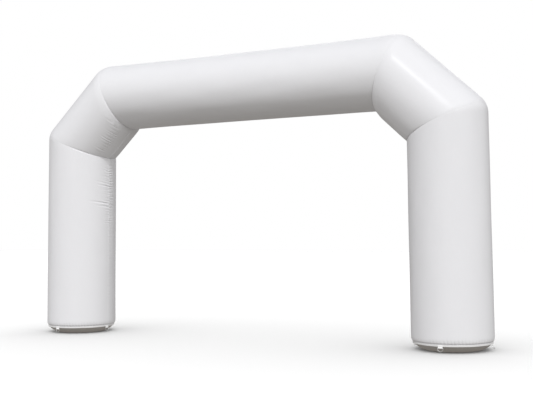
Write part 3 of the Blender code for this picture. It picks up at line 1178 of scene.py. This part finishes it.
for name, tube in tubes.items():
    rows = [closing_row(tube, across) for across in STITCH_ROWS]
    mitred_ends = [True] if isinstance(tube.first, Hem) else [False, True]
    rows += [mitre_row(tube, at_the_end) for at_the_end in mitred_ends]
    pieces["stitches_" + name] = sew("stitches_" + name, rows)

# %% [markdown]
# Each band is sewn along both its edges, and each tab by a box of stitches through both its layers.

# %% Sew the feet
BAND_ROW = BAND_WIDTH / 2 - 0.003
BOX_EDGE = 0.005


def band_row(side, up):
    middle = np.array((SIDES[side] * LEG_X, 0.0, SEAM_Z))

    def row(sewn):
        angle = sewn / SEAM_RADIUS
        wave_out, wave_up = band_waves(angle, 70 + SIDES[side])
        out = np.stack([np.cos(angle), np.sin(angle), 0 * angle], -1)
        radius = SEAM_RADIUS + GAP + BAND_FACE + wave_out
        height = (up + wave_up)[..., None] * UPWARDS
        return middle + radius[..., None] * out + height, out

    return row, 2 * math.pi * SEAM_RADIUS


def straight_row(tie, first, last):
    """A straight row of stitches between two points on the face of a tab."""
    length = np.linalg.norm(last - first)
    way = (last - first) / length

    def row(sewn):
        at = first + sewn[..., None] * way
        return at, np.array(tie.out) + 0 * at

    return row, length


def tab_rows(tie):
    """The four sides of the box of stitches on a tab."""
    half = TAB_WIDTH / 2 - BOX_EDGE
    low = EYE_NECK + BOX_EDGE
    high = tie.tab_top - tie.bar.z - BOX_EDGE
    along = np.array([-half, half, half, -half, -half])
    up = np.array([low, low, high, high, low])
    corners = tie.place(STRIP + 0 * up, along, up)
    return [straight_row(tie, *ends) for ends in zip(corners, corners[1:])]


for side in SIDES:
    rows = [band_row(side, -BAND_ROW), band_row(side, BAND_ROW)]
    for tie in ties:
        if tie.name.startswith(side):
            rows += tab_rows(tie)
    pieces["stitches_foot_" + side] = sew("stitches_foot_" + side, rows)

# %% [markdown]
# The light is that of a big white studio. The key lamp stands high in front, a little to the right: it
# draws the bright streak. Weaker ones fill the front, the right and the left from lower down, and two
# more light the back. Each is a sun, whose light is the same everywhere. The fills have a wide angle,
# which makes them as soft as a cloudy sky.

# %% Lights for the arch
arch = bpy.data.collections.new("arch")
stage_set = bpy.data.collections.new("stage")
bpy.context.scene.collection.children.link(arch)
bpy.context.scene.collection.children.link(stage_set)


def sun_from(name, azimuth, elevation, strength, spread, shines_on, colour=(1, 1, 1)):
    """A sun in this direction, in degrees: azimuth -90 is in front of the arch and 0 at its right."""
    lamp = bpy.data.lights.new(name, "SUN")
    lamp.energy = strength
    lamp.angle = math.radians(spread)
    lamp.color = colour
    made = bpy.data.objects.new(name, lamp)
    turn = math.radians(azimuth)
    lift = math.radians(elevation)
    towards = Vector((math.cos(turn) * math.cos(lift), math.sin(turn) * math.cos(lift), math.sin(lift)))
    made.rotation_euler = towards.to_track_quat("Z", "Y").to_euler()
    bpy.context.scene.collection.objects.link(made)
    made.light_linking.receiver_collection = shines_on
    return made


sun_from("key", -73, 45, 1.57, 8, arch, (0.985, 0.99, 1.0))
sun_from("front fill", -90, 20, 0.41, 40, arch)
sun_from("right fill", -30, 27, 1.12, 40, arch)
sun_from("left fill", -130, 20, 0.41, 40, arch)
sun_from("far left fill", -170, 20, 0.33, 40, arch)
sun_from("back right fill", 30, 20, 0.40, 40, arch)
sun_from("back fill", 110, 25, 0.60, 40, arch)

# %% [markdown]
# The background is pure white, but a white world would also light the arch from all sides and flatten
# it. The Light Path node tells the camera's own rays from the others, so the camera sees white, and the
# cloth is lit by a soft grey that is a little warmer from below, like light off a floor.

# %% The world
world = bpy.data.worlds.new("studio")
bpy.context.scene.world = world
world.use_nodes = True
world.cycles.sampling_method = "NONE"
tree = world.node_tree
tree.nodes.clear()
rays = tree.nodes.new("ShaderNodeLightPath")
direction = tree.nodes.new("ShaderNodeTexCoord")
split = tree.nodes.new("ShaderNodeSeparateXYZ")
lower = tree.nodes.new("ShaderNodeMapRange")
lower.inputs["From Min"].default_value = -0.3
lower.inputs["From Max"].default_value = 0.3
soft = tree.nodes.new("ShaderNodeMix")
soft.data_type = "RGBA"
soft.inputs["A"].default_value = (0.312, 0.298, 0.278, 1)
soft.inputs["B"].default_value = (0.12, 0.12, 0.124, 1)
seen = tree.nodes.new("ShaderNodeMix")
seen.data_type = "RGBA"
seen.inputs["B"].default_value = (1, 1, 1, 1)
light = tree.nodes.new("ShaderNodeBackground")
result = tree.nodes.new("ShaderNodeOutputWorld")
tree.links.new(direction.outputs["Generated"], split.inputs["Vector"])
tree.links.new(split.outputs["Z"], lower.inputs["Value"])
tree.links.new(lower.outputs["Result"], soft.inputs["Factor"])
tree.links.new(rays.outputs["Is Camera Ray"], seen.inputs["Factor"])
tree.links.new(soft.outputs["Result"], seen.inputs["A"])
tree.links.new(seen.outputs["Result"], light.inputs["Color"])
tree.links.new(light.outputs["Background"], result.inputs["Surface"])
bpy.context.scene.view_settings.view_transform = "Standard"

# %% [markdown]
# The floor is a plain pale sheet. It has a sky of its own, so wide that its light comes from all of the
# half dome above, and only the soft shadow under each foot stays dark enough to show.

# %% The floor
FLOOR_HALF = 60.0
floor_mesh = bpy.data.meshes.new("floor")
floor_corners = [(-FLOOR_HALF, -FLOOR_HALF, 0), (FLOOR_HALF, -FLOOR_HALF, 0)]
floor_corners += [(FLOOR_HALF, FLOOR_HALF, 0), (-FLOOR_HALF, FLOOR_HALF, 0)]
floor_mesh.from_pydata(floor_corners, [], [(0, 1, 2, 3)])
pale_floor = new_material("pale_floor", (0.27, 0.27, 0.27), 1.0, Specular_IOR_Level=0.0)
floor = new_object("floor", floor_mesh, pale_floor)
floor.visible_diffuse = False
floor.visible_glossy = False
stage_set.objects.link(floor)
floor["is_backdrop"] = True
sun_from("sky over the floor", -90, 90, 12.3, 180, stage_set)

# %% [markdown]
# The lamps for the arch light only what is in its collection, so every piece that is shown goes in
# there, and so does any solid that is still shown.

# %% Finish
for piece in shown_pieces():
    if piece.name not in arch.objects:
        arch.objects.link(piece)
